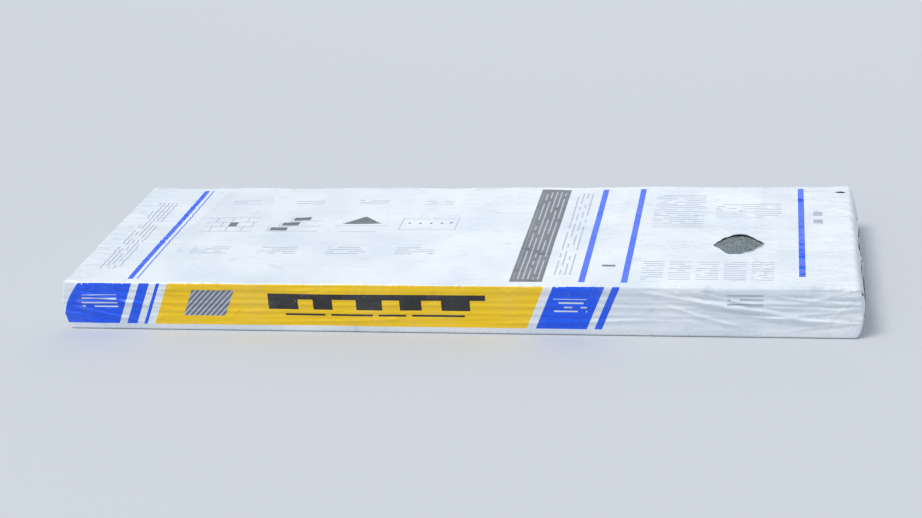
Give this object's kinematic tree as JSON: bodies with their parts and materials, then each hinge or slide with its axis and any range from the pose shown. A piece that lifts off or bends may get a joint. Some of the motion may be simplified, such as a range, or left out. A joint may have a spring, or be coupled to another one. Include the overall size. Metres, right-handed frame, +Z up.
{
  "type": "asphalt shingle bundle",
  "caption": "Bundle of laminated asphalt roofing shingles, stacked head to butt and folded into a printed plastic film wrapper with tucked ends and a torn top face.",
  "frame": {"origin": "centre of the bundle's underside, where it lies on the floor", "axes": "+X along the shingles, +Y across them to the far long side, +Z up through the stack"},
  "size_m": [1.0922, 0.3734, 0.0702],
  "materials": {
    "printed_film": "white polyethylene film with a yellow, blue and gray print, slightly glossy",
    "granulated_asphalt": "rough gray mineral granules on asphalt-coated glass mat"
  },
  "bodies": {
    "root": {"wrapper": "printed_film", "shingle_01": "granulated_asphalt", "shingle_02": "granulated_asphalt", "shingle_03": "granulated_asphalt", "shingle_04": "granulated_asphalt", "shingle_05": "granulated_asphalt", "shingle_06": "granulated_asphalt", "shingle_07": "granulated_asphalt", "shingle_08": "granulated_asphalt", "shingle_09": "granulated_asphalt", "shingle_10": "granulated_asphalt", "shingle_11": "granulated_asphalt", "shingle_12": "granulated_asphalt", "shingle_13": "granulated_asphalt", "shingle_14": "granulated_asphalt", "shingle_15": "granulated_asphalt", "shingle_16": "granulated_asphalt", "shingle_17": "granulated_asphalt", "shingle_18": "granulated_asphalt"}
  },
  "joints": []
}
